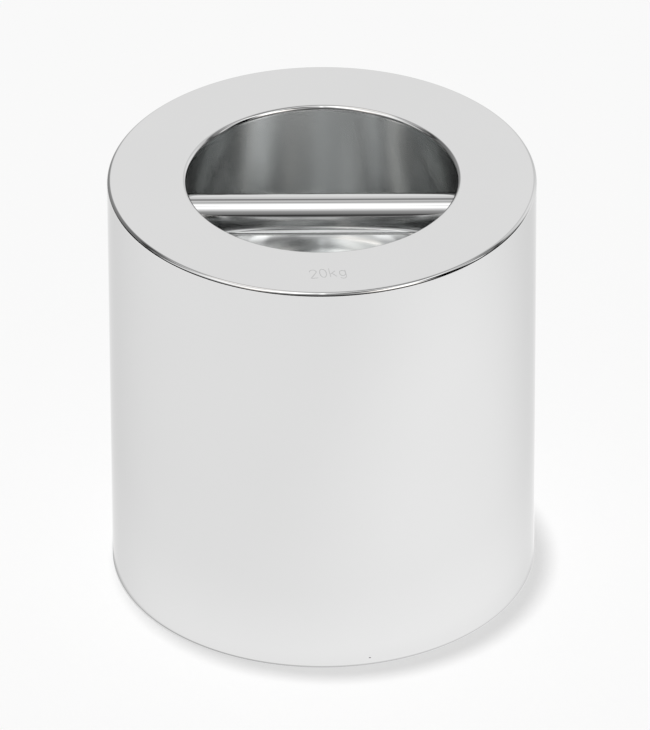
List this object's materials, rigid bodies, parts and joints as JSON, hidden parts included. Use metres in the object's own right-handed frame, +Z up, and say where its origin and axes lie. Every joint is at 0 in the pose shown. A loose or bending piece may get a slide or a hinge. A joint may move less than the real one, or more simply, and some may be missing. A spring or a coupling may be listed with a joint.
{
  "type": "calibration weight",
  "caption": "Polished cylindrical calibration weight with a round hand recess in its top, crossed by a round grip bar for lifting.",
  "frame": {"origin": "centre of the base, where the weight stands on its flat bottom face", "axes": "+Z up along the axis of the cylinder, X along the grip bar, -Y towards the marked side of the top ring"},
  "size_m": [0.1515, 0.1514, 0.1575],
  "materials": {
    "body_steel": "polished, with a turned satin finish in the recess",
    "bar_steel": "mirror polished"
  },
  "bodies": {
    "root": {"weight_body": "body_steel", "grip_bar": "bar_steel"}
  },
  "joints": []
}
